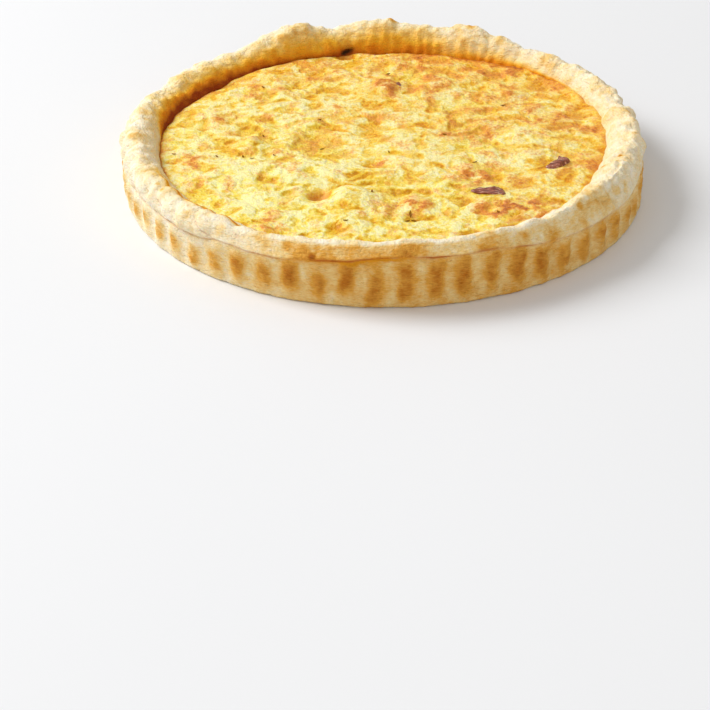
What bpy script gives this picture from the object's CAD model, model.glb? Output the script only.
"""Bacon quiche: the looks of a whole baked tart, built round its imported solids.

An azimuth is in degrees from the front (-Y), rising towards the right (+X) and round the back.
"""

import math
from collections import namedtuple

import bmesh
import bpy
import numpy as np
from mathutils import Euler, Matrix, Vector, noise


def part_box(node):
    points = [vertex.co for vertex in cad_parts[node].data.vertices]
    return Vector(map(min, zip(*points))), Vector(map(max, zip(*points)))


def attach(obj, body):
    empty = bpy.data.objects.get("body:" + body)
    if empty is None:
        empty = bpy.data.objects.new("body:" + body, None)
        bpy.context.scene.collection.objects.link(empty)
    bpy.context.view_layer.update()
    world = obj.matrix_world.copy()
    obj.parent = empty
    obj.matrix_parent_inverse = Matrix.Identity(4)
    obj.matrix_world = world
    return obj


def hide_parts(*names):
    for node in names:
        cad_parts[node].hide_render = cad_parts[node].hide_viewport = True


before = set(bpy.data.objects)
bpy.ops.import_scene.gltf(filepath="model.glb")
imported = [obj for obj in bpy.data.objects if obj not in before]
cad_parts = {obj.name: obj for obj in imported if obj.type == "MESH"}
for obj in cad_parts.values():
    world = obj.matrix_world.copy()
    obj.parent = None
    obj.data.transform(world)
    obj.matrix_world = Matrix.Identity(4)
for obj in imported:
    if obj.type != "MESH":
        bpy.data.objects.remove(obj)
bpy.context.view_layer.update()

# The pastry shell: shortcrust pressed into a fluted tin, its edge rolled over into a collar.
# It is a grid wrapped round, each row one ring of its section, then each point is moved by its
# share of the flutes, of the sagging crest and of the collar's folds, and at last by fine relief.
MM = 0.001
wall_radius = 127.8 * MM
crest_height = 30.2 * MM
seam_height = 18.0 * MM
floor_height = 6.0 * MM
# Inside, the wall bends up from the floor here, and leans in at its shoulder under the crest
bend_inset = 18.0 * MM
bend_height = 16.5 * MM
shoulder_inset = 15.0 * MM
shoulder_drop = 6.5 * MM
flute_count = 59
flute_depth = 1.15 * MM
turn_steps = flute_count * 16
dough_seed = Vector((3.1, 7.7, 1.3))

Swell = namedtuple("Swell", "azimuth half_width rise")
crest_swells = (
    Swell(-118, 14, -4.2 * MM),
    Swell(-140, 9, -3.2 * MM),
    Swell(-158, 7, 4.0 * MM),
    Swell(-180, 7, 3.2 * MM),
    Swell(157, 5, 3.2 * MM),
    Swell(142, 5, -2.0 * MM),
    Swell(128, 7, -1.0 * MM),
    Swell(103, 12, -1.4 * MM),
    Swell(66, 10, 1.5 * MM),
    Swell(18, 44, 1.4 * MM),
    Swell(-29, 12, -2.0 * MM),
    Swell(-58, 12, -1.3 * MM),
)
seam_swells = (
    Swell(9, 36, 8.0 * MM),
    Swell(-36.5, 5.5, 2.2 * MM),
    Swell(-72, 16, -0.8 * MM),
    Swell(100, 25, 1.0 * MM),
)
lean_swells = (
    Swell(73, 23, -3.8 * MM),
    Swell(130, 24, 1.6 * MM),
    Swell(-128, 14, -2.5 * MM),
)
collar_swells = (
    Swell(84, 46, -2.8 * MM),
    Swell(8, 38, -1.8 * MM),
    Swell(-88, 34, -1.2 * MM),
    Swell(150, 20, -1.0 * MM),
)
wall_swells = (Swell(90, 17, -1.9 * MM),)
custard_swells = (Swell(116, 36, 4.2 * MM),)
custard_edge_level = 18.3 * MM
# Where the rim has a plain face: from one azimuth to the other, and how soft its ends are
plain_face = (-38, 72, 3.5)

Station = namedtuple("Station", "radius height crest seam flute collar crimp lean inside rim parts")
shares = Station._fields[2:10]


def crust_stations(front):
    """The section from the middle of the floor over the crest to the underside, with each
    station's shares, and the number of parts that the stretch up to it is drawn in. At the
    front the rim has a narrow top and a plain face instead of the overhanging collar."""

    def inside(inset, height, parts, crest=0.0, lean=1.0, crimp=0.0, inner=1.0, rim=0.0):
        return Station(wall_radius - inset, height, crest, 0, 0, 0, crimp, lean, inner, rim, parts)

    def collar(outset, level, parts, puff, crimp, inner=0.0):
        height = seam_height + level * (crest_height - seam_height)
        return Station(wall_radius + outset, height, level, 1 - level, 0, puff, crimp, 0, inner,
                       min(1, 5 * level) if level > 0 else 0, parts)

    def fluted(outset, height, parts, seam, flute):
        return Station(wall_radius + outset, height, 0, seam, flute, 0, 0, 0, 0, 0, parts)

    crest = crest_height
    hanging = [
        collar(-5.0 * MM, 1.0, 7, 0.2, 0.5, 0.1),
        collar(-1.4 * MM, 0.88, 7, 0.6, 0.7),
        collar(1.7 * MM, 0.6, 8, 1, 1),
        collar(2.0 * MM, 0.28, 7, 1, 1),
        collar(0.7 * MM, 0.05, 6, 0.4, 0.6),
        collar(-1.0 * MM, -0.03, 5, 0, 0),
    ]
    plain = [
        collar(-6.9 * MM, 1.0, 7, 0, 0.2, 0.1),
        collar(-5.3 * MM, 0.92, 7, 0, 0.2),
        collar(-3.4 * MM, 0.68, 8, 0, 0.1),
        collar(-1.4 * MM, 0.34, 7, 0, 0),
        collar(0.2 * MM, 0.08, 6, 0, 0),
        collar(0.3 * MM, -0.06, 5, 0, 0),
    ]
    return [
        inside(wall_radius, floor_height, 0, lean=0),
        inside(22.0 * MM, floor_height + 0.5 * MM, 1, lean=0),
        inside(19.2 * MM, 11.0 * MM, 1),
        inside(bend_inset, bend_height, 2),
        inside(shoulder_inset, crest - shoulder_drop, 11, crest=0.8, crimp=0.2, rim=0.2),
        inside(12.0 * MM, crest - 3.0 * MM, 7, crest=0.9, lean=0.7, crimp=0.5, inner=0.7, rim=0.6),
        inside(9.0 * MM, crest - 0.8 * MM, 6, crest=1, lean=0.3, crimp=0.6, inner=0.3, rim=0.9),
        *(plain if front else hanging),
        fluted(0.1 * MM, seam_height - 1.4 * MM, 4, 1, 0.6),
        fluted(0.4 * MM, seam_height - 3.6 * MM, 4, 1, 0.95),
        fluted(0.3 * MM, 11.0 * MM, 6, 0.4, 1),
        fluted(0.2 * MM, 6.0 * MM, 8, 0, 0.95),
        fluted(0.1 * MM, 2.4 * MM, 6, 0, 0.4),
        fluted(-0.3 * MM, 0.6 * MM, 3, 0, 0),
        fluted(-1.6 * MM, 0, 1, 0, 0),
        fluted(-wall_radius, 0, 1, 0, 0),
    ]


def drawn_finer(stations):
    """The stations with points between them on a smooth curve, each share carried along."""
    values = np.array([station[:-1] for station in stations])
    rows = [values[0]]
    for index in range(1, len(values)):
        before = values[max(index - 2, 0)]
        start, end = values[index - 1], values[index]
        after = values[min(index + 1, len(values) - 1)]
        parts = stations[index].parts
        for part in range(1, parts + 1):
            t = part / parts
            tangent_in = (end - before) / 2 * (parts > 1)
            tangent_out = (after - start) / 2 * (parts > 1)
            rows.append((2 * t**3 - 3 * t**2 + 1) * start + (t**3 - 2 * t**2 + t) * tangent_in
                        + (3 * t**2 - 2 * t**3) * end + (t**3 - t**2) * tangent_out)
    return rows


def swells_at(azimuth, swells):
    """The sum of smooth rises round the rim, for an array of azimuths."""
    total = np.zeros_like(azimuth)
    for swell in swells:
        away = (azimuth - swell.azimuth + 180) % 360 - 180
        total += swell.rise * np.exp(-((away / swell.half_width) ** 2))
    return total


def between(azimuth, low, high, blur):
    """One between two azimuths and nought outside, with blurred ends."""
    middle, half = (low + high) / 2, (high - low) / 2
    away = np.abs((azimuth - middle + 180) % 360 - 180)
    return 1 / (1 + np.exp((away - half) / blur))


def crest_rise(azimuth):
    angle = np.radians(azimuth)
    ripple = 0.35 * MM * np.sin(9 * angle + 1.0) + 0.3 * MM * np.sin(16 * angle)
    ripple += 0.55 * MM * np.sin(43 * angle + 0.5) * between(azimuth, 26, 116, 5)
    return swells_at(azimuth, crest_swells) + ripple


def seam_rise(azimuth):
    angle = np.radians(azimuth)
    ripple = 0.6 * MM * np.sin(5 * angle + 0.6) + 0.35 * MM * np.sin(13 * angle + 2.0)
    return swells_at(azimuth, seam_swells) + ripple


def collar_puff(azimuth):
    angle = np.radians(azimuth)
    ripple = 0.4 * MM * np.sin(7 * angle + 0.4) + 0.3 * MM * np.sin(17 * angle + 1.9)
    return swells_at(azimuth, collar_swells) + ripple


def custard_edge(azimuth):
    """The height at which the custard meets the crust."""
    return custard_edge_level + swells_at(azimuth, custard_swells)


def crimp(azimuth):
    zone = 0.25 + 0.75 * swells_at(azimuth, (Swell(-80, 62, 1.0),))
    return zone * 0.8 * MM * np.sin(np.radians(flute_count * azimuth))


def flute_wave(azimuth):
    return np.cos(np.radians(flute_count * (azimuth - 90)))


def smooth_noise(points, size, seed=dough_seed, stretch=(1, 1, 1)):
    """Soft noise about -1 to 1 with lumps of the given size, one value for each point."""
    scaled = points / (size * np.array(stretch)) + np.array(seed)
    return np.array([noise.noise(Vector(point)) for point in scaled]) * 1.6


def cell_bumps(points, size, seed=dough_seed, reach=0.42, share=0.5):
    """Round bumps, 0 to 1, one in some of the cells of the given size."""
    bumps = np.zeros(len(points))
    for index, point in enumerate(points / size + np.array(seed)):
        distances, centres = noise.voronoi(Vector(point))
        if distances[0] < reach and noise.cell(centres[0] * 7.3) > 1 - 2 * share:
            bumps[index] = (1 - (distances[0] / reach) ** 2) ** 2
    return bumps


def points_of(mesh):
    points = np.empty(len(mesh.vertices) * 3)
    mesh.vertices.foreach_get("co", points)
    return points.reshape(-1, 3)


def move_points(mesh, points):
    mesh.vertices.foreach_set("co", points.ravel())
    mesh.update()


def normals_of(mesh):
    normals = np.empty(len(mesh.vertices) * 3)
    mesh.vertex_normals.foreach_get("vector", normals)
    return normals.reshape(-1, 3)


def keep_value(mesh, name, values):
    """Stores one number for each point, for the finish to read."""
    attribute = mesh.attributes.new(name, "FLOAT", "POINT")
    attribute.data.foreach_set("value", np.clip(values, 0, 1).astype(np.float32))


def new_piece(name, bm):
    """The bmesh as a named smooth-shaded object in the scene."""
    mesh = bpy.data.meshes.new(name)
    bm.to_mesh(mesh)
    bm.free()
    mesh.shade_smooth()
    piece = bpy.data.objects.new(name, mesh)
    bpy.context.scene.collection.objects.link(piece)
    return piece


rows, front_rows = (np.array(drawn_finer(crust_stations(front))) for front in (False, True))
bm = bmesh.new()
layers = [bm.verts.layers.float.new(share) for share in shares]
bmesh.ops.create_grid(bm, x_segments=turn_steps, y_segments=len(rows) - 1, size=1)
for vert in bm.verts:
    turn = math.pi * vert.co.x
    index = round((vert.co.y + 1) / 2 * (len(rows) - 1))
    plain = between(math.degrees(turn), *plain_face)
    row = rows[index] + plain * (front_rows[index] - rows[index])
    vert.co = (row[0] * math.sin(turn), -row[0] * math.cos(turn), row[1])
    for layer, value in zip(layers, row[2:]):
        vert[layer] = value
bmesh.ops.remove_doubles(bm, verts=bm.verts[:], dist=0.001 * MM)
bmesh.ops.recalc_face_normals(bm, faces=bm.faces[:])
shell = new_piece("pastry_shell", bm)

points = points_of(shell.data)
share = {}
for name in shares:
    share[name] = np.empty(len(points))
    shell.data.attributes[name].data.foreach_get("value", share[name])
azimuth = np.degrees(np.arctan2(points[:, 0], -points[:, 1]))
radius = np.hypot(points[:, 0], points[:, 1])
points[:, 2] += share["crest"] * crest_rise(azimuth) + share["seam"] * seam_rise(azimuth)
shallower = 0.55 * between(azimuth, -64, 25, 8)
outset = share["flute"] * flute_depth * flute_wave(azimuth) * (1 - shallower)
outset += share["flute"] * swells_at(azimuth, wall_swells)
outset += share["collar"] * collar_puff(azimuth) + share["crimp"] * crimp(azimuth)
outset += share["lean"] * swells_at(azimuth, lean_swells)
points[:, :2] *= (1 + outset / np.maximum(radius, MM))[:, None]
move_points(shell.data, points)

Spot = namedtuple("Spot", "azimuth radius height half_width strength")
toasted_spots = (
    Spot(-27.5, 123 * MM, 28 * MM, 3.6 * MM, 0.22),
    Spot(-21, 125 * MM, 27.5 * MM, 3.2 * MM, 0.22),
    Spot(-15, 127 * MM, 24.5 * MM, 2.0 * MM, 0.3),
    Spot(-37, 126 * MM, 26 * MM, 3.0 * MM, 0.18),
    Spot(62, 126 * MM, 27 * MM, 3.5 * MM, 0.25),
    Spot(71, 118 * MM, 30 * MM, 1.8 * MM, 0.5),
    Spot(48, 123 * MM, 30 * MM, 2.0 * MM, 0.35),
    Spot(55, 128 * MM, 24 * MM, 4.0 * MM, 0.14),
    Spot(38, 129 * MM, 25 * MM, 5.0 * MM, 0.12),
    Spot(178, 123 * MM, 33 * MM, 2.5 * MM, 0.45),
    Spot(158, 122 * MM, 33 * MM, 2.5 * MM, 0.3),
    Spot(150, 121 * MM, 30 * MM, 3.5 * MM, 0.2),
    Spot(100, 124 * MM, 30 * MM, 3.0 * MM, 0.2),
    Spot(-65, 121 * MM, 29 * MM, 1.5 * MM, 0.3),
    Spot(-61, 123 * MM, 29 * MM, 1.3 * MM, 0.3),
    Spot(-58.5, 123 * MM, 29 * MM, 1.3 * MM, 0.25),
    Spot(-46, 127 * MM, 26 * MM, 2.0 * MM, 0.3),
    Spot(70, 111.5 * MM, 29 * MM, 1.5 * MM, 0.4),
    Spot(54, 117 * MM, 29 * MM, 2.2 * MM, 0.35),
    Spot(41, 116 * MM, 28.5 * MM, 1.6 * MM, 0.5),
    Spot(75, 118 * MM, 30 * MM, 1.2 * MM, 0.5),
    Spot(57, 124 * MM, 26 * MM, 3.4 * MM, 0.14),
    Spot(84, 119 * MM, 28 * MM, 2.2 * MM, 0.3),
)


def bell(values, middle, half_width):
    """One at the middle, falling off smoothly on both sides."""
    return np.exp(-(((values - middle) / half_width) ** 2))


# Which stretch of the shell each point belongs to, and soft noises of falling size
height = points[:, 2].copy()
seam = seam_height + seam_rise(azimuth)
crest = crest_height + crest_rise(azimuth)
rim, inside = share["rim"], share["inside"]
outside = 1 - np.clip(inside / 0.05, 0, 1)
wall = np.clip((seam + 0.5 * MM - height) / (1.2 * MM), 0, 1) * (inside <= 0)
face_level = np.clip((height - seam) / (crest - seam), 0, 1)
lumps = smooth_noise(points, 14 * MM)
dimples = smooth_noise(points, 5.5 * MM, seed=(11.0, 2.0, 5.0))
wrinkles = smooth_noise(points, 2.6 * MM, seed=(6.0, 1.0, 2.0))
flakes = smooth_noise(points, 5 * MM, seed=(1.0, 9.0, 4.0), stretch=(1, 1, 0.22))
grain = smooth_noise(points, 1.5 * MM, seed=(4.0, 4.0, 8.0))

# Left of the front the collar lies in overlapping folds, creased at these azimuths
fold_ends = (-70, -62.5, -55, -48, -41, -32.5)
slant = 7 * (face_level - 0.4) + 1.2 * lumps
fold = np.interp(azimuth + slant, fold_ends, np.arange(len(fold_ends)))
fold_place = 2 * (fold - np.floor(fold)) - 1
pillow = np.sqrt(np.clip(1 - fold_place**2, 0, 1))
folded = between(azimuth, -69, -33, 0.8) * rim
crease = folded * np.clip(1 - 2.2 * pillow, 0, 1)

# Further left it is pinched, at the back its inside is pleated, and at the right it is lumpy
pinches = between(azimuth, -122, -64, 5) * rim
pinch_wave = np.sin(np.radians(88 * azimuth) + 2.6 * lumps + 1.5 * dimples)
pleats = np.sin(np.radians(118 * azimuth) + 2.5 * lumps) * between(azimuth, 135, 205, 6) * inside
blisters = cell_bumps(points, 8 * MM, share=0.4) * np.maximum(rim, 0.3 * wall)
lumpy = (between(azimuth, 46, 128, 6) + 0.7 * between(azimuth, 138, 250, 6)) * rim
right_rim = between(azimuth, 52, 120, 4) * rim * outside
rim_folds = np.abs(np.sin(np.radians(53 * azimuth) + 1.6 * face_level + 2.4 * lumps)) ** 0.6
deeper = between(azimuth, 40, 78, 7) * np.clip((height - 3 * MM) / (4 * MM), 0, 1) * wall
bulge = swells_at(azimuth, (Swell(-165, 4.5, 1.0),)) * bell(height, 21 * MM, 4 * MM) * inside
hollow = bell(azimuth, -170, 2.2) * bell(height, 21 * MM, 3 * MM) * inside
faced = between(azimuth, -38, 70, 3.5) * outside * (height > seam - 3 * MM)

# The relief is in millimetres along the normal. The plain face is smoother than the rest
relief = rim * (0.6 * lumps + 0.42 * dimples + 0.2 * wrinkles)
relief += folded * 1.5 * (pillow - 0.75) + pinches * (0.2 * pinch_wave + 0.2 * dimples)
relief += lumpy * (0.55 * lumps + 0.7 * dimples + 0.3 * wrinkles)
relief += inside * (0.3 * dimples + 0.35 * pleats + 0.1 * wrinkles) + blisters * 0.4
relief += wall * (0.16 * flakes + 0.22 * dimples + 0.12 * wrinkles)
relief += 0.35 * deeper * flute_wave(azimuth)
relief += (wall + rim) * 0.08 * grain
relief += right_rim * 0.8 * (rim_folds - 0.7) * np.clip(2 * face_level, 0, 1)
relief += 2.6 * bulge
relief *= 1 - 0.65 * faced * (1 - 0.8 * lumpy)
relief -= 3.0 * hollow
shown = (height > 0.5 * MM) & (radius > wall_radius - 25 * MM)
points += normals_of(shell.data) * (relief * shown * MM)[:, None]
points[:, 2] = np.maximum(points[:, 2], 0)

# A fine crack runs along the seam, where the collar came down over the edge of the tin
seam_line = seam + (0.5 * lumps + 0.3 * dimples) * MM
crack = bell(height, seam_line, 0.55 * MM) * outside * (radius > wall_radius - 3 * MM)
points[:, :2] *= (1 - 0.2 * MM * crack * faced / np.maximum(radius, MM))[:, None]
move_points(shell.data, points)

# The tin toasted each ridge of the wall in an oval
ridge = np.clip(0.55 + 0.6 * flute_wave(azimuth + 0.25 * lumps), 0, 1)
flute_number = np.round(flute_count * (azimuth - 90) / 360)
luck = np.array([noise.cell(Vector((number, 0.5, 0.5))) for number in flute_number])
oval_top = seam - (1.5 - luck + 3 * between(azimuth, -75, -30, 5)) * MM
oval_foot = (4.0 + 2.5 * luck) * MM
oval_level = (2 * height - oval_top - oval_foot) / (oval_top - oval_foot)
oval = ridge * np.exp(-(np.abs(oval_level) ** 3)) * wall * (0.85 + 0.15 * luck + 0.12 * dimples)

# Custard soaked the inside golden, highest at the left and the back, and along its own edge
edge = custard_edge(azimuth)
soaked_side = between(azimuth, -192, -98, 2.5)
soaked_reach = 0.6 + 17 * soaked_side + 9 * between(azimuth, 144, 174, 6)
soaked = np.clip(1 - (height - edge) / (soaked_reach * MM) + 0.14 * dimples, 0, 1)
soaked *= 0.66 + 0.48 * between(azimuth, -136, -90, 7)
soaked += 0.34 * bell(height, edge, 2.4 * MM) * between(azimuth, -172, -98, 4)
soaked = inside * soaked * (1 - 0.85 * between(azimuth, 30, 122, 6))
lip = between(azimuth, -68, -27, 2.5) * bell(inside, 0.4, 0.16)
soaked_ring = inside * np.clip((edge + 3.2 * MM - height) / (2.6 * MM) + 0.3 * dimples, 0, 1)
soaked_ring *= 1 - 0.8 * between(azimuth, 24, 160, 6)
soaked = np.maximum(soaked, np.maximum(0.66 * lip, 0.5 * soaked_ring))

# The rest is how far the dough browned: most on the plain face and in hollows, least at the left
leaned_on = between(azimuth, -25, 56, 6) * np.clip(6 * (0.92 - face_level), 0, 1)
leaned_on *= outside * (1 - wall)
pale_side = between(azimuth, -125, -33, 8) * outside
patches = np.clip(lumps + 0.6 * dimples, 0, 1)
hollows = np.clip(-0.8 * dimples - 0.5 * wrinkles, 0, 1) * rim * (1 - 0.6 * pale_side)
slots = pinches * np.clip(-pinch_wave, 0, 1) * (face_level > 0.8)
spots = np.zeros(len(points))
for spot in toasted_spots:
    angle = math.radians(spot.azimuth)
    middle = np.array((spot.radius * math.sin(angle), -spot.radius * math.cos(angle), spot.height))
    away = np.linalg.norm(points - middle, axis=1) / spot.half_width
    spots += spot.strength * np.exp(-(away**4))
right_wall = wall * between(azimuth, 62, 125, 6)
leaned_tone = 0.27 + 0.1 * patches + 0.1 * between(azimuth, -34, 6, 4)
leaned_tone *= 1 - 0.3 * between(azimuth, 18, 70, 5)
browning = 0.13 + 0.05 * dimples + 0.38 * oval + 0.29 * wall * (1 - 0.85 * pale_side)
browning -= 0.02 * pale_side + 0.1 * right_wall + 0.12 * oval * between(azimuth, 34, 130, 8)
browning += leaned_on * leaned_tone
browning += 0.12 * blisters + 0.12 * slots
browning += rim * (0.08 * patches + 0.06 * lumps) * (1 - 0.5 * pale_side)
browning += 0.16 * hollows + (0.08 + 0.3 * soaked_side) * inside + spots
browning += 0.15 * inside * between(azimuth, 140, 172, 6)

# The crack comes and goes, the folds end in creases, and custard leaked out at the front
crack *= 0.65 + 0.35 * np.clip(3 * smooth_noise(points, 18 * MM), -1, 1)
crack += 0.45 * crease * outside * (face_level < 0.7)
near_pit = swells_at(azimuth, (Swell(-170, 2.6, 1.0),)) * inside
crack += near_pit * bell(height, edge + 1.5 * MM, 3 * MM)
leak = bell(height, seam_line - (1.0 - 0.5 * dimples) * MM, (1.2 + 0.5 * wrinkles) * MM) * outside
leak *= between(azimuth, -9, 3, 1.0) + 0.45 * between(azimuth, -19, 12, 1.5)
leak *= radius > wall_radius - 3 * MM
crack *= (1 - 0.4 * leak) * (1 - 0.5 * between(azimuth, -31, -21, 2))
crack *= 1 - 0.75 * between(azimuth, 53, 112, 2.5)

# At the back a slanting dark pit is left between the crust and the custard
pit_level = height - edge - (2.4 - 0.7 * (azimuth + 170)) * MM
pit = bell(azimuth + 0.8 * dimples, -169.5, 2.6) * bell(pit_level, 0, 1.8 * MM) * inside
tones = {
    "browning": browning,
    "soaked": soaked,
    "crack": crack,
    "leak": leak,
    "pit": 2.2 * pit - 0.7,
}
for name, values in tones.items():
    keep_value(shell.data, name, values)
for name in shares:
    shell.data.attributes.remove(shell.data.attributes[name])


def colour(red, green, blue):
    """A colour as a screen shows it, 0 to 255, in the renderer's own terms."""
    channels = [value / 255 for value in (red, green, blue)]
    linear = [c / 12.92 if c <= 0.04045 else ((c + 0.055) / 1.055) ** 2.4 for c in channels]
    return (*linear, 1)


class Finish:
    """A material being mixed: short calls that add and link its nodes."""

    def __init__(self, name):
        self.material = bpy.data.materials.new(name)
        self.material.use_nodes = True
        self.nodes = self.material.node_tree.nodes
        self.links = self.material.node_tree.links
        self.surface = self.nodes["Principled BSDF"]
        self.place = self.nodes.new("ShaderNodeTexCoord").outputs["Object"]

    def set(self, **values):
        for socket, value in values.items():
            self.surface.inputs[socket.replace("_", " ")].default_value = value

    def link(self, source, target):
        self.links.new(source, target)

    def value_of(self, name):
        node = self.nodes.new("ShaderNodeAttribute")
        node.attribute_name = name
        return node.outputs["Fac"]

    def grain(self, size, detail=3.0, stretch=(1, 1, 1), roughness=0.5):
        """Noise with lumps of this size, 0 to 1."""
        mapping = self.nodes.new("ShaderNodeMapping")
        mapping.inputs["Scale"].default_value = [1 / (size * s) for s in stretch]
        node = self.nodes.new("ShaderNodeTexNoise")
        node.inputs["Scale"].default_value = 1.0
        node.inputs["Detail"].default_value = detail
        node.inputs["Roughness"].default_value = roughness
        self.link(self.place, mapping.inputs["Vector"])
        self.link(mapping.outputs["Vector"], node.inputs["Vector"])
        return node.outputs["Fac"]

    def sum(self, first, second, operation="ADD", clamp=False):
        node = self.nodes.new("ShaderNodeMath")
        node.operation = operation
        node.use_clamp = clamp
        for socket, value in zip(node.inputs, (first, second)):
            if isinstance(value, (int, float)):
                socket.default_value = value
            else:
                self.link(value, socket)
        return node.outputs[0]

    def rise(self, value, low, high):
        """Nought below the low value and one above the high one."""
        return self.sum(self.sum(value, low, "SUBTRACT"), 1 / (high - low), "MULTIPLY", clamp=True)

    def swing(self, noise_value, amount):
        """Noise turned into a swing of this much either way."""
        return self.sum(self.sum(noise_value, 0.5, "SUBTRACT"), 2 * amount, "MULTIPLY")

    def ramp(self, value, stops):
        node = self.nodes.new("ShaderNodeValToRGB")
        elements = node.color_ramp.elements
        while len(elements) < len(stops):
            elements.new(1.0)
        for element, (position, shade) in zip(elements, stops):
            element.position = position
            element.color = shade
        self.link(value, node.inputs["Fac"])
        return node.outputs["Color"]

    def blend(self, amount, first, second):
        node = self.nodes.new("ShaderNodeMix")
        node.data_type = "RGBA"
        self.link(amount, node.inputs["Factor"])
        colours = [socket for socket in node.inputs if socket.type == "RGBA"]
        for socket, value in zip(colours, (first, second)):
            if isinstance(value, tuple):
                socket.default_value = value
            else:
                self.link(value, socket)
        return [socket for socket in node.outputs if socket.type == "RGBA"][0]

    def bump(self, value, depth):
        """Adds relief of this depth, on top of any bump that is already there."""
        node = self.nodes.new("ShaderNodeBump")
        node.inputs["Distance"].default_value = depth
        self.link(value, node.inputs["Height"])
        socket = self.surface.inputs["Normal"]
        if socket.is_linked:
            self.link(socket.links[0].from_socket, node.inputs["Normal"])
        self.link(node.outputs["Normal"], socket)


dough = Finish("baked_pastry_look")
toast = dough.sum(dough.value_of("browning"), dough.swing(dough.grain(9 * MM, 3.0), 0.16))
toast = dough.sum(toast, dough.swing(dough.grain(3.2 * MM, 2.0), 0.15))
toast = dough.sum(toast, dough.swing(dough.grain(1.6 * MM, 2.0, (1.5, 1.5, 0.3)), 0.14), clamp=True)
crumb = dough.ramp(toast, [
    (0.0, colour(252, 243, 224)),
    (0.18, colour(249, 231, 192)),
    (0.36, colour(243, 208, 138)),
    (0.56, colour(228, 166, 68)),
    (0.8, colour(190, 114, 26)),
    (1.0, colour(142, 76, 24)),
])
soak = dough.sum(dough.value_of("soaked"), dough.swing(dough.grain(6 * MM, 3.0), 0.2), clamp=True)
golden = dough.ramp(soak, [
    (0.0, colour(253, 222, 124)),
    (0.35, colour(252, 192, 46)),
    (0.65, colour(228, 138, 22)),
    (1.0, colour(154, 62, 10)),
])
crumb = dough.blend(dough.rise(dough.value_of("soaked"), 0.0, 0.52), crumb, golden)
crumb = dough.blend(dough.value_of("leak"), crumb, colour(222, 148, 26))
crumb = dough.blend(dough.value_of("crack"), crumb, colour(186, 92, 26))
crumb = dough.blend(dough.value_of("pit"), crumb, colour(58, 34, 14))
dough.link(crumb, dough.surface.inputs["Base Color"])
dough.set(Roughness=0.62, Subsurface_Weight=0.14, Subsurface_Scale=0.0025)
dough.surface.inputs["Subsurface Radius"].default_value = (1.0, 0.55, 0.3)
dough.surface.inputs["Specular IOR Level"].default_value = 0.1
dough.bump(dough.grain(1.2 * MM, 3.0, (1, 1, 0.6)), 0.9 * MM)
dough.bump(dough.grain(3.2 * MM, 3.0, (1.2, 1.2, 0.4)), 1.0 * MM)
shell.data.materials.append(dough.material)
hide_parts("crust")
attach(shell, "root")

# The custard: eggs, cream and grated cheese, baked till set, lumpy and browned on its high spots.
# It starts as a square grid drawn round into a disc, its rim reaching just into the crust, and
# its relief runs from broad mounds down to curds and grains.
fill_level_top = 21.2 * MM
fill_shoulder = 14.0 * MM
fill_overlap = 0.9 * MM
skirt_foot = 12 * MM
skirt_inset = 3.5 * MM
curd_cells = 300
curd_seed = Vector((21.0, 4.0, 9.0))
# The lardons in the custard: how each is turned, in degrees, how deep it has sunk and how far
# it has slid towards the front, and a third as far to the left
Lardon = namedtuple("Lardon", "name turn sunk slid")
lardons = (
    Lardon("bacon_1", -6, 0.1 * MM, 3.0 * MM),
    Lardon("bacon_2", 49, 0, 1.0 * MM),
    Lardon("bacon_3", -37, 1.4 * MM, 0),
    Lardon("bacon_4", 12, 1.7 * MM, 0),
)

# The broad mounds and dips
Mound = namedtuple("Mound", "x y half_width rise")
mounds = (
    Mound(-66 * MM, -3 * MM, 6 * MM, 2.6 * MM),
    Mound(-4 * MM, 66 * MM, 14 * MM, 1.6 * MM),
    Mound(27 * MM, 70 * MM, 12 * MM, 1.4 * MM),
    Mound(-30 * MM, -55 * MM, 9 * MM, -2.4 * MM),
    Mound(-18 * MM, -66 * MM, 16 * MM, 1.5 * MM),
    Mound(64 * MM, -66 * MM, 16 * MM, 1.2 * MM),
    Mound(58 * MM, 30 * MM, 22 * MM, 1.0 * MM),
    Mound(-52 * MM, 48 * MM, 20 * MM, 0.9 * MM),
)
# Smaller lumps and pits with steeper sides
billows = (
    Mound(-70 * MM, -32 * MM, 15 * MM, 1.9 * MM),
    Mound(-37 * MM, -33 * MM, 14 * MM, 1.6 * MM),
    Mound(-17 * MM, -57 * MM, 11 * MM, 2.0 * MM),
    Mound(-50 * MM, -62 * MM, 15 * MM, 1.2 * MM),
    Mound(-32 * MM, 2 * MM, 10 * MM, -1.5 * MM),
    Mound(-31 * MM, -55 * MM, 4.5 * MM, -3.0 * MM),
    Mound(-61 * MM, -33 * MM, 7 * MM, -1.3 * MM),
    Mound(-45 * MM, -55 * MM, 4 * MM, -1.3 * MM),
    Mound(-23 * MM, -88 * MM, 3.5 * MM, -1.8 * MM),
    Mound(16 * MM, -66 * MM, 8 * MM, 1.5 * MM),
    Mound(-65 * MM, 2 * MM, 4 * MM, 1.6 * MM),
    Mound(38 * MM, -20 * MM, 15 * MM, 1.0 * MM),
    Mound(10 * MM, -8 * MM, 16 * MM, 1.1 * MM),
    Mound(0 * MM, 62 * MM, 6 * MM, 1.5 * MM),
    Mound(30 * MM, 60 * MM, 12 * MM, 1.2 * MM),
    Mound(-45 * MM, 40 * MM, 16 * MM, 0.9 * MM),
    Mound(70 * MM, 0 * MM, 18 * MM, 0.9 * MM),
    Mound(-21 * MM, 107 * MM, 5 * MM, -3.5 * MM),
    Mound(-5 * MM, -21 * MM, 4.5 * MM, -1.6 * MM),
)
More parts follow.
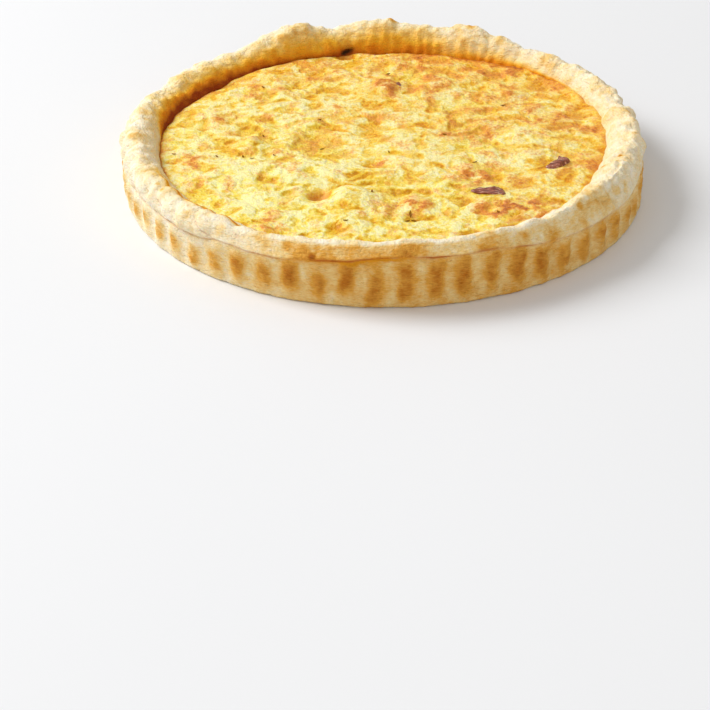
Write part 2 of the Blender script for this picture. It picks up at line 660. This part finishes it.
# The folds pressed into the top: the two ends of each, its half width and its depth
Groove = namedtuple("Groove", "x1 y1 x2 y2 half_width depth")
grooves = (
    Groove(-30 * MM, -52 * MM, -18 * MM, -43 * MM, 2.2 * MM, 2.4 * MM),
    Groove(-18 * MM, -43 * MM, 0 * MM, -42 * MM, 1.8 * MM, 2.0 * MM),
    Groove(6 * MM, -39 * MM, 16 * MM, -42 * MM, 1.6 * MM, 1.4 * MM),
    Groove(-58 * MM, -40 * MM, -50 * MM, -52 * MM, 2.4 * MM, 1.5 * MM),
    Groove(-40 * MM, 16 * MM, -20 * MM, 14 * MM, 2.0 * MM, 1.0 * MM),
    Groove(5 * MM, -76 * MM, 8 * MM, -58 * MM, 1.8 * MM, 1.4 * MM),
    Groove(34 * MM, -72 * MM, 40 * MM, -60 * MM, 2.0 * MM, 1.4 * MM),
    Groove(20 * MM, 22 * MM, 34 * MM, 30 * MM, 2.0 * MM, 1.0 * MM),
    Groove(-80 * MM, 20 * MM, -70 * MM, 32 * MM, 1.8 * MM, 1.0 * MM),
)
# Where the top is browned most: middle, half width and strength
Scorch = namedtuple("Scorch", "x y half_width strength")
scorches = (
    Scorch(1 * MM, 62 * MM, 6 * MM, 0.6),
    Scorch(-3 * MM, 73 * MM, 6 * MM, 0.35),
    Scorch(28 * MM, 66 * MM, 8 * MM, 0.4),
    Scorch(-66 * MM, 1 * MM, 4 * MM, 0.55),
    Scorch(-52 * MM, -10 * MM, 4 * MM, 0.35),
    Scorch(-76 * MM, -2 * MM, 5 * MM, 0.25),
    Scorch(-32 * MM, 2 * MM, 10 * MM, 0.3),
    Scorch(-22 * MM, 34 * MM, 10 * MM, 0.28),
    Scorch(0 * MM, 27 * MM, 8 * MM, 0.3),
    Scorch(36 * MM, 15 * MM, 9 * MM, 0.32),
    Scorch(-2 * MM, -22 * MM, 4 * MM, 0.6),
    Scorch(76 * MM, 26 * MM, 7 * MM, 0.4),
    Scorch(90 * MM, 32 * MM, 8 * MM, 0.35),
    Scorch(69 * MM, 43 * MM, 9 * MM, 0.45),
    Scorch(64 * MM, 61 * MM, 8 * MM, 0.4),
    Scorch(48 * MM, 84 * MM, 8 * MM, 0.4),
    Scorch(84 * MM, 66 * MM, 8 * MM, 0.4),
    Scorch(-38 * MM, 92 * MM, 10 * MM, 0.3),
    Scorch(65 * MM, 93 * MM, 12 * MM, 0.5),
    Scorch(26 * MM, 102 * MM, 14 * MM, 0.45),
    Scorch(-92 * MM, -17 * MM, 10 * MM, 0.4),
    Scorch(-82 * MM, 26 * MM, 9 * MM, 0.3),
    Scorch(-52 * MM, -88 * MM, 9 * MM, 0.35),
    Scorch(67 * MM, -69 * MM, 10 * MM, 0.8),
    Scorch(52 * MM, -72 * MM, 8 * MM, 0.45),
    Scorch(-96 * MM, -28 * MM, 11 * MM, 0.25),
    Scorch(-60 * MM, 70 * MM, 14 * MM, 0.25),
    Scorch(41 * MM, -38 * MM, 6 * MM, 0.35),
    Scorch(65 * MM, -43 * MM, 7 * MM, 0.4),
    Scorch(8 * MM, -66 * MM, 12 * MM, 0.3),
    Scorch(-9 * MM, -76 * MM, 5 * MM, 0.35),
    Scorch(47 * MM, -32 * MM, 9 * MM, 0.35),
    Scorch(62 * MM, -38 * MM, 7 * MM, 0.3),
    Scorch(16 * MM, -67 * MM, 7 * MM, 0.35),
    Scorch(-31 * MM, -55 * MM, 4.5 * MM, 0.5),
    Scorch(100 * MM, -22 * MM, 8 * MM, 0.3),
    Scorch(102 * MM, 16 * MM, 8 * MM, 0.4),
)


def inner_wall_radius(azimuth, height):
    """The radius of the shell's inside at a height between its bend and its shoulder."""
    low_radius = wall_radius - bend_inset
    high_radius = wall_radius - shoulder_inset + 0.2 * crimp(azimuth)
    high_height = crest_height - shoulder_drop + 0.8 * crest_rise(azimuth)
    part = (height - bend_height) / (high_height - bend_height)
    return low_radius + part * (high_radius - low_radius) + swells_at(azimuth, lean_swells)


def custard_level(points):
    """The broad shape of the top: its level with mounds, dips and slow waves."""
    level = np.full(len(points), fill_level_top)
    for mound in mounds:
        away = np.hypot(points[:, 0] - mound.x, points[:, 1] - mound.y) / mound.half_width
        level += mound.rise * np.exp(-away * away)
    flat = points * np.array((1, 1, 0))
    level += 1.1 * MM * np.array([noise.noise(Vector(p)) for p in flat / (34 * MM)])
    shifted = flat / (13 * MM) + np.array((7, 3, 0))
    return level + 0.9 * MM * np.array([noise.noise(Vector(p)) for p in shifted])


bm = bmesh.new()
bmesh.ops.create_grid(bm, x_segments=curd_cells, y_segments=curd_cells, size=1)
for vert in bm.verts:
    u, v = vert.co.x, vert.co.y
    vert.co = (u * math.sqrt(1 - v * v / 2), v * math.sqrt(1 - u * u / 2), 0)
rim_edges = [edge for edge in bm.edges if edge.is_boundary]
skirt = bmesh.ops.extrude_edge_only(bm, edges=rim_edges)["geom"]
skirt_verts = [item for item in skirt if isinstance(item, bmesh.types.BMVert)]
bmesh.ops.translate(bm, verts=skirt_verts, vec=(0, 0, -1))
lower_edges = [item for item in skirt if isinstance(item, bmesh.types.BMEdge) and item.is_boundary]
bmesh.ops.edgeloop_fill(bm, edges=lower_edges)
bmesh.ops.recalc_face_normals(bm, faces=bm.faces[:])
custard = new_piece("custard", bm)

disc = points_of(custard.data)
on_top = disc[:, 2] > -0.5
azimuth = np.degrees(np.arctan2(disc[:, 0], -disc[:, 1]))
edge_height = custard_edge(azimuth)
rim_places = disc / np.maximum(np.hypot(disc[:, 0], disc[:, 1]), 0.01)[:, None] * wall_radius
edge_height += 0.8 * MM * smooth_noise(rim_places * np.array((1, 1, 0)), 9 * MM)
edge_radius = inner_wall_radius(azimuth, edge_height) + fill_overlap
points = disc * edge_radius[:, None]
span = np.hypot(points[:, 0], points[:, 1])
inland = np.clip((edge_radius - span) / fill_shoulder, 0, 1)
rounding = np.sqrt(1 - (1 - inland) ** 2)

# Lumps, curds and grains, drapes between them, and pits and dents, in millimetres
flat = points * np.array((1, 1, 0))
broken = flat + np.array((2.2, 2.2, 0)) * MM * smooth_noise(flat, 11 * MM)[:, None]
lumps = smooth_noise(broken, 12 * MM, seed=curd_seed)
curds = smooth_noise(broken, 5.5 * MM, seed=curd_seed * 2)
grains = smooth_noise(flat, 2.0 * MM, seed=curd_seed * 3)
drapes = np.abs(smooth_noise(broken, 10 * MM, seed=curd_seed * 4, stretch=(1.8, 0.8, 1)))
pits = smooth_noise(broken, 8 * MM, seed=curd_seed * 7, stretch=(1.3, 1, 1))
pits = np.clip(2.2 * pits - 0.25, 0, 1)
dents = smooth_noise(broken, 4 * MM, seed=curd_seed * 8)
dents = np.clip(2.2 * dents - 0.3, 0, 1)
region = smooth_noise(flat, 30 * MM, seed=curd_seed * 5)
relief = 0.45 * lumps + 0.34 * curds + 0.26 * grains + 0.5 * (drapes - 0.28)
relief -= 0.5 * pits + 0.35 * dents
relief *= 0.65 + 0.45 * np.clip(0.5 + region, 0, 1)
folds = np.zeros(len(points))
for billow in billows:
    away = np.hypot(points[:, 0] - billow.x, points[:, 1] - billow.y) / billow.half_width
    folds += billow.rise / MM * np.exp(-(away**3))
for groove in grooves:
    run = np.array((groove.x2 - groove.x1, groove.y2 - groove.y1))
    start = broken[:, :2] - (groove.x1, groove.y1)
    along = np.clip(start @ run / (run @ run), 0, 1)
    away = np.hypot(*(start - along[:, None] * run).T) / groove.half_width
    folds -= groove.depth / MM * np.exp(-away) * (1 - 0.5 * np.abs(2 * along - 1))

# Round each lardon the custard is level, or drawn over it where it has sunk
top_height = edge_height + (custard_level(points) - edge_height) * rounding
for lardon in lardons:
    low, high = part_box(lardon.name)
    middle = (low + high) / 2
    away = np.hypot(points[:, 0] - middle.x, points[:, 1] - middle.y)
    cover = 0.75 * np.exp(-((away / (8 * MM)) ** 4))
    relief = relief * (1 - cover) + cover * (0.5 * lardon.sunk / MM + 0.9 * curds)
top_height += (relief + 0.9 * folds) * MM * np.clip(2.5 * inland, 0.35, 1)
points[:, 2] = np.where(on_top, top_height, skirt_foot)
points[~on_top, :2] *= (1 - skirt_inset / edge_radius[~on_top])[:, None]
move_points(custard.data, points)

# The top is browned in spots and along the left and back edge, and wetter at the right edge
scorch = np.zeros(len(points))
for spot in scorches:
    away = np.hypot(points[:, 0] - spot.x, points[:, 1] - spot.y) / spot.half_width
    scorch += spot.strength * np.exp(-away * away)
side_bias = 0.12 * np.clip((0.6 * points[:, 0] + points[:, 1]) / (140 * MM), -1, 1)
mottle = smooth_noise(broken, 7 * MM, seed=curd_seed * 6)
rim_near = 1 - np.clip(3 * inland, 0, 1)
wet_edge = rim_near * between(azimuth, 58, 108, 5)
browning = 0.19 + side_bias + 0.26 * mottle + 0.16 * region + 0.1 * lumps
browning += scorch * (0.68 + 0.7 * np.clip(curds + 0.6 * grains, -0.8, 0.8)) + 0.3 * rim_near
browning += 0.75 * bell(inland, 0.0, 0.08) * between(azimuth, -200, -44, 4) - 0.3 * wet_edge

# The pale skin lies on the flat tops, and the flanks of the lumps show the moist yellow inside
creases = bell(drapes, 0, 0.07) * np.clip(0.6 + 2 * mottle, 0, 1)
steepness = np.hypot(*normals_of(custard.data)[:, :2].T)
flanks = np.clip(steepness - 0.16, 0, 0.6) * on_top
depth = 0.09 + 0.5 * pits + 0.35 * dents + 0.42 * creases - 0.12 * lumps - 0.26 * folds
depth += 1.1 * side_bias + 1.1 * flanks
depth += 0.3 * rim_near * (points[:, 0] > 0) + 0.4 * wet_edge
creamy = 0.5 - 5 * side_bias + 0.7 * region - scorch
keep_value(custard.data, "browning", browning)
keep_value(custard.data, "depth", depth)
keep_value(custard.data, "creamy", creamy)

curd = Finish("baked_custard_look")
# The same two noises shape the fine curds and tint them: hollows golden, high spots browned
clots = curd.grain(2.1 * MM, 3.0)
specks = curd.grain(1.1 * MM, 2.0)
depth = curd.sum(curd.value_of("depth"), curd.swing(curd.grain(6 * MM, 3.0), 0.32))
depth = curd.sum(depth, curd.swing(clots, -0.45))
depth = curd.sum(depth, curd.swing(specks, -0.35), clamp=True)
yolky = curd.ramp(depth, [
    (0.0, colour(253, 236, 172)),
    (0.22, colour(250, 222, 126)),
    (0.5, colour(244, 200, 72)),
    (0.75, colour(236, 172, 28)),
    (1.0, colour(218, 140, 14)),
])
lemony = curd.ramp(depth, [
    (0.0, colour(254, 242, 178)),
    (0.22, colour(251, 230, 128)),
    (0.5, colour(241, 212, 78)),
    (0.75, colour(232, 186, 32)),
    (1.0, colour(216, 154, 16)),
])
egg = curd.blend(curd.value_of("creamy"), yolky, lemony)
toast = curd.sum(curd.value_of("browning"), curd.swing(clots, 0.35))
toast = curd.sum(toast, curd.swing(curd.grain(1.5 * MM, 2.0), 0.3), clamp=True)
brown = curd.ramp(toast, [
    (0.2, colour(244, 204, 122)),
    (0.45, colour(236, 170, 74)),
    (0.7, colour(221, 140, 52)),
    (1.0, colour(180, 100, 42)),
])
egg = curd.blend(curd.rise(toast, 0.18, 0.62), egg, brown)
curd.link(egg, curd.surface.inputs["Base Color"])
curd.set(Roughness=0.38, Subsurface_Weight=0.6, Subsurface_Scale=0.0022)
curd.surface.inputs["Subsurface Radius"].default_value = (1.0, 0.93, 0.15)
curd.surface.inputs["Specular IOR Level"].default_value = 0.28
curd.bump(specks, 0.5 * MM)
curd.bump(clots, 0.85 * MM)
custard.data.materials.append(curd.material)
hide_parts("filling")
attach(custard, "root")

# The lardons: strips of smoked bacon, shrunk and curled in the oven, half sunk in the custard.
# Each is a cut block drawn lumpy, streaked with pale fat, and takes its place from its own node.
lardon_cuts = 11
# A strip against its node's box, its width against its length, how round it is drawn, how much
# longer it is pulled, and how far it curls and crinkles, in millimetres
lardon_share = 0.9
lardon_breadth = 0.45
lardon_rounding = 0.45
lardon_stretch = 1.15
lardon_curl = 1.4
lardon_crinkle = 0.4
# Without a seed of its own the curling would differ from run to run
lardon_seed = 3
noise.seed_set(lardon_seed)


def make_lardon(name, turn, sunk, slid):
    """One strip, fitted to the box of the node that it stands for."""
    low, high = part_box(name)
    middle, size = (low + high) / 2 - Vector((slid / 3, slid, sunk)), high - low
    angle = math.radians(turn)
    across = abs(math.sin(angle)), abs(math.cos(angle))
    length = size.x / (across[1] + lardon_breadth * across[0])
    strip = Vector((length, lardon_breadth * length, size.z))
    bm = bmesh.new()
    bmesh.ops.create_cube(bm, size=1)
    bmesh.ops.subdivide_edges(bm, edges=bm.edges[:], cuts=lardon_cuts, use_grid_fill=True)
    for vert in bm.verts:
        rounded = vert.co.normalized() * 0.5
        vert.co = vert.co.lerp(rounded, lardon_rounding)
        vert.co = Vector(c * s for c, s in zip(vert.co, strip)) * lardon_share
        vert.co.x *= lardon_stretch
        curl = noise.noise_vector(vert.co / (5 * MM) + Vector((turn, 0, 0)))
        crinkle = noise.noise_vector(vert.co / (1.6 * MM) + Vector((turn, 5, 0)))
        taper = 0.95 + 0.3 * vert.co.x / strip.x
        vert.co.y *= taper
        vert.co.z *= taper
        vert.co += curl * lardon_curl * MM + crinkle * lardon_crinkle * MM
        vert.co.y += 0.1 * strip.y * (2 * vert.co.x / strip.x) ** 2
    bmesh.ops.transform(bm, matrix=Matrix.Rotation(angle, 4, "Z"), verts=bm.verts[:])
    bmesh.ops.translate(bm, verts=bm.verts[:], vec=middle)
    bmesh.ops.recalc_face_normals(bm, faces=bm.faces[:])
    return new_piece(name + "_strip", bm)


meat = Finish("fried_bacon_look")
streaks = meat.grain(2.4 * MM, 3.0, (1.6, 0.5, 1))
streaks = meat.sum(streaks, meat.swing(meat.grain(0.7 * MM), 0.1), clamp=True)
lean_and_fat = meat.ramp(streaks, [
    (0.28, colour(96, 44, 34)),
    (0.45, colour(130, 66, 50)),
    (0.6, colour(166, 98, 74)),
    (0.7, colour(226, 192, 170)),
])
meat.link(lean_and_fat, meat.surface.inputs["Base Color"])
meat.set(Roughness=0.32, Subsurface_Weight=0.08, Subsurface_Scale=0.002)
meat.bump(meat.grain(0.6 * MM, 3.0), 0.2 * MM)
for lardon in lardons:
    strip = make_lardon(*lardon)
    strip.data.materials.append(meat.material)
    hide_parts(lardon.name)
    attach(strip, "root")

# The herbs: flecks of dried leaf, dark and curled, lying where they floated up.
# All are one joined mesh of thin bent blades, each set a little into the custard under it.
herb_seed = 5
leaf_thickness = 0.22 * MM
leaf_lift = 0.3 * MM
# Where the flecks lie, in millimetres
herb_places = (
    (-59.9, 8.4), (-69.0, -16.0), (-53.9, -13.7), (-30.6, -4.7), (-32.2, 24.5), (-5.8, -53.7),
    (-103.0, -13.1), (-81.9, -14.0), (-64.5, -19.3), (1.9, 79.1), (2.4, -9.9), (44.0, -20.0),
    (54.0, -74.0), (-62.0, 62.0), (60.0, 42.0), (-18.0, -84.0), (30.0, 10.0),
)
# A longer forked stalk near the front: middle, length and heading of each blade, in
# millimetres and degrees
Blade = namedtuple("Blade", "x y length heading")
stalk = (
    Blade(12.3, -74.0, 9.0, 92),
    Blade(11.0, -79.9, 2.8, 28),
    Blade(14.0, -79.4, 2.8, -22),
)


def top_height_at(x, y):
    """The custard's height at a place, from the nearest point of its top."""
    nearest = np.argmin(np.hypot(points[:, 0] - x, points[:, 1] - y) + (~on_top))
    return points[nearest, 2]


draw = np.random.default_rng(herb_seed)
flecks = [Blade(x, y, draw.uniform(1.8, 2.8), draw.uniform(0, 360)) for x, y in herb_places]
bm = bmesh.new()
for fleck in (*flecks, *stalk):
    width = draw.uniform(0.7, 1.0) * MM
    blade = bmesh.ops.create_grid(bm, x_segments=6, y_segments=2, size=0.5)["verts"]
    for vert in blade:
        u, v = vert.co.x * 2, vert.co.y
        vert.co = (u * fleck.length * MM / 2, v * width * (1.05 - u * u), 0.25 * MM * u * u)
    roll = draw.uniform(-0.4, 0.4)
    tilt = Euler((roll, 0, math.radians(fleck.heading)))
    bmesh.ops.rotate(bm, verts=blade, matrix=tilt.to_matrix(), cent=(0, 0, 0))
    x, y = fleck.x * MM, fleck.y * MM
    bmesh.ops.translate(bm, verts=blade, vec=(x, y, top_height_at(x, y) + leaf_lift))
bmesh.ops.recalc_face_normals(bm, faces=bm.faces[:])
bmesh.ops.solidify(bm, geom=bm.faces[:], thickness=leaf_thickness)
bmesh.ops.recalc_face_normals(bm, faces=bm.faces[:])
herbs = new_piece("herb_flecks", bm)
leaf = Finish("dried_herb_look")
leaf_shades = [(0.3, colour(104, 66, 16)), (0.7, colour(150, 104, 34))]
leaf_shade = leaf.ramp(leaf.grain(1.0 * MM), leaf_shades)
leaf.link(leaf_shade, leaf.surface.inputs["Base Color"])
leaf.set(Roughness=0.95)
leaf.surface.inputs["Specular IOR Level"].default_value = 0.0
herbs.data.materials.append(leaf.material)
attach(herbs, "root")

# The stage: a plain pale floor under a large soft light from the upper left and behind, a weaker
# one from the front, and a bright even sky. The camera looks down on the tart from the front.
floor_half = 6
aim = Vector((0, 0, 0.02))
camera_dip = 30.56
camera_turn = 0.55
floor_mesh = bmesh.new()
bmesh.ops.create_grid(floor_mesh, x_segments=1, y_segments=1, size=floor_half)
floor = new_piece("floor", floor_mesh)
floor_finish = Finish("pale_floor_look")
floor_shades = [(0.3, colour(230, 232, 236)), (0.7, colour(234, 236, 240))]
floor_tone = floor_finish.ramp(floor_finish.grain(0.6, 2.0), floor_shades)
floor_finish.link(floor_tone, floor_finish.surface.inputs["Base Color"])
floor_finish.set(Roughness=0.7)
floor.data.materials.append(floor_finish.material)


def add_light(name, place, size, power, tint=(1, 1, 1)):
    """A square soft light aimed at the middle of the tart."""
    light = bpy.data.lights.new(name, "AREA")
    light.size = size
    light.energy = power
    light.color = tint
    lamp = bpy.data.objects.new(name, light)
    lamp.location = place
    lamp.rotation_euler = (aim - Vector(place)).to_track_quat("-Z", "Y").to_euler()
    bpy.context.scene.collection.objects.link(lamp)


add_light("key_light", (-2.4, 0.9, 2.1), 1.7, 104.0, (1.0, 0.995, 0.985))
add_light("fill_light", (0.3, -1.4, 0.7), 1.2, 3.0)
world = bpy.data.worlds.new("sky")
world.use_nodes = True
world.node_tree.nodes["Background"].inputs["Color"].default_value = (1, 0.97, 0.92, 1)
world.node_tree.nodes["Background"].inputs["Strength"].default_value = 0.52
bpy.context.scene.world = world
bpy.context.scene.view_settings.view_transform = "Standard"

lens = bpy.data.cameras.new("camera")
lens.sensor_width = 36
lens.lens = 145.3
lens.clip_start = 0.05
camera = bpy.data.objects.new("camera", lens)
camera.location = (-0.0022, -1.2712, 0.6505)
camera.rotation_euler = (math.radians(90 - camera_dip), 0, math.radians(camera_turn))
bpy.context.scene.collection.objects.link(camera)
bpy.context.scene.camera = camera
